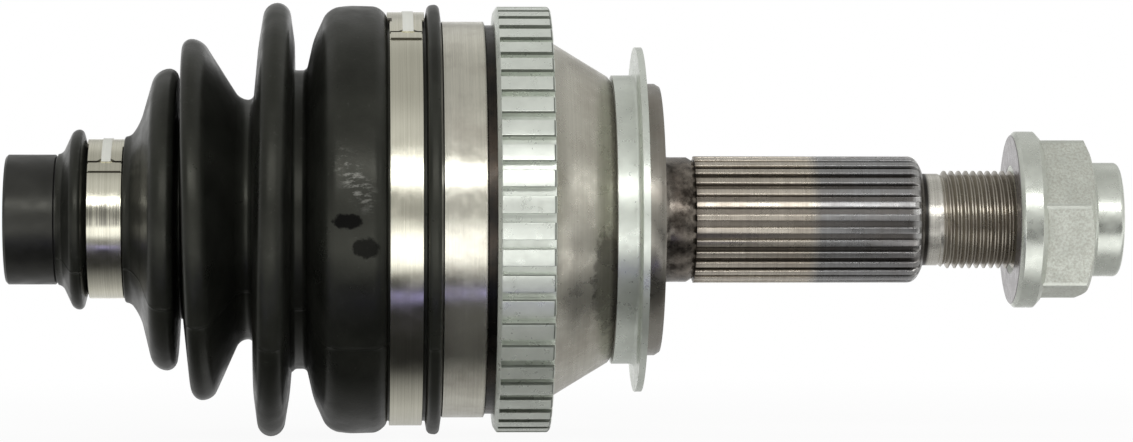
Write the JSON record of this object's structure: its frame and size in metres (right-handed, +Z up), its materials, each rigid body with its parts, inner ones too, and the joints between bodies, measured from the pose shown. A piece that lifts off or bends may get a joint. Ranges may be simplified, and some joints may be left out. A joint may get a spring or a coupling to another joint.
{
  "type": "drive shaft",
  "caption": "Wheel-side end of a drive shaft: bar, bellows boot with two strip clamps, ball-type constant-velocity joint, toothed ring, dust shield, splined stub and flanged nut",
  "frame": {"origin": "on the joint axis, in the plane of the flat shoulder that seats against the wheel bearing", "axes": "+X along the joint axis toward the wheel, +Z up in the picture, the picture looks along +Y"},
  "size_m": [0.2269, 0.0884, 0.0884],
  "materials": {
    "black_paint": "satin black paint over steel",
    "spring_steel": "oiled spring steel",
    "race_steel": "ground and hardened steel under a film of grease",
    "clamp_steel": "bright stainless strip",
    "forged_steel": "turned and ground steel, oily brown-grey on the stub",
    "zinc_plate": "pale satin zinc plating",
    "boot_rubber": "satin black moulded rubber"
  },
  "bodies": {
    "hub_side": {"outer_housing": "forged_steel", "tone_ring": "zinc_plate", "dust_shield": "zinc_plate", "cv_boot": "boot_rubber", "large_boot_clamp": "clamp_steel"},
    "axle_side": {"axle_bar": "black_paint", "axle_circlip": "spring_steel", "inner_race": "race_steel", "small_boot_clamp": "clamp_steel"},
    "cage": {"ball_cage": "race_steel"},
    "nut": {"hub_nut": "zinc_plate"},
    "ball_1": {"ball_1": "race_steel"},
    "ball_2": {"ball_2": "race_steel"},
    "ball_3": {"ball_3": "race_steel"},
    "ball_4": {"ball_4": "race_steel"},
    "ball_5": {"ball_5": "race_steel"},
    "ball_6": {"ball_6": "race_steel"}
  },
  "joints": [
    {"name": "joint_articulation", "type": "hinge", "parent": "hub_side", "child": "axle_side", "pos_m": [-0.0388, 0, 0], "axis": [0, 0, 1], "range_deg": [-45, 45], "deforming": ["cv_boot"]},
    {"name": "cage_turn", "type": "hinge", "parent": "hub_side", "child": "cage", "pos_m": [-0.0388, 0, 0], "axis": [0, 0, 1], "range_deg": [-22.6, 22.6]},
    {"name": "nut_travel", "type": "slide", "parent": "hub_side", "child": "nut", "axis": [1, 0, 0], "range_m": [-0.0141, 0.0215]},
    {"name": "ball_1_roll", "type": "hinge", "parent": "hub_side", "child": "ball_1", "pos_m": [-0.0423, 0, 0], "axis": [0, 0, 1], "range_deg": [-22.6, 22.6]},
    {"name": "ball_2_roll", "type": "hinge", "parent": "hub_side", "child": "ball_2", "pos_m": [-0.0423, 0, 0], "axis": [0, -0.866, 0.5], "range_deg": [-11.76, 11.76]},
    {"name": "ball_3_roll", "type": "hinge", "parent": "hub_side", "child": "ball_3", "pos_m": [-0.0423, 0, 0], "axis": [0, 0.866, 0.5], "range_deg": [-11.76, 11.76]},
    {"name": "ball_4_roll", "type": "hinge", "parent": "hub_side", "child": "ball_4", "pos_m": [-0.0423, 0, 0], "axis": [0, 0, 1], "range_deg": [-22.6, 22.6]},
    {"name": "ball_5_roll", "type": "hinge", "parent": "hub_side", "child": "ball_5", "pos_m": [-0.0423, 0, 0], "axis": [0, -0.866, 0.5], "range_deg": [-11.76, 11.76]},
    {"name": "ball_6_roll", "type": "hinge", "parent": "hub_side", "child": "ball_6", "pos_m": [-0.0423, 0, 0], "axis": [0, 0.866, 0.5], "range_deg": [-11.76, 11.76]}
  ],
  "couplings": [
    {"joint": "cage_turn", "follows": "joint_articulation", "ratio": 0.5},
    {"joint": "ball_1_roll", "follows": "joint_articulation", "ratio": 0.5},
    {"joint": "ball_2_roll", "follows": "joint_articulation", "ratio": 0.259},
    {"joint": "ball_3_roll", "follows": "joint_articulation", "ratio": 0.259},
    {"joint": "ball_4_roll", "follows": "joint_articulation", "ratio": 0.5},
    {"joint": "ball_5_roll", "follows": "joint_articulation", "ratio": 0.259},
    {"joint": "ball_6_roll", "follows": "joint_articulation", "ratio": 0.259}
  ]
}
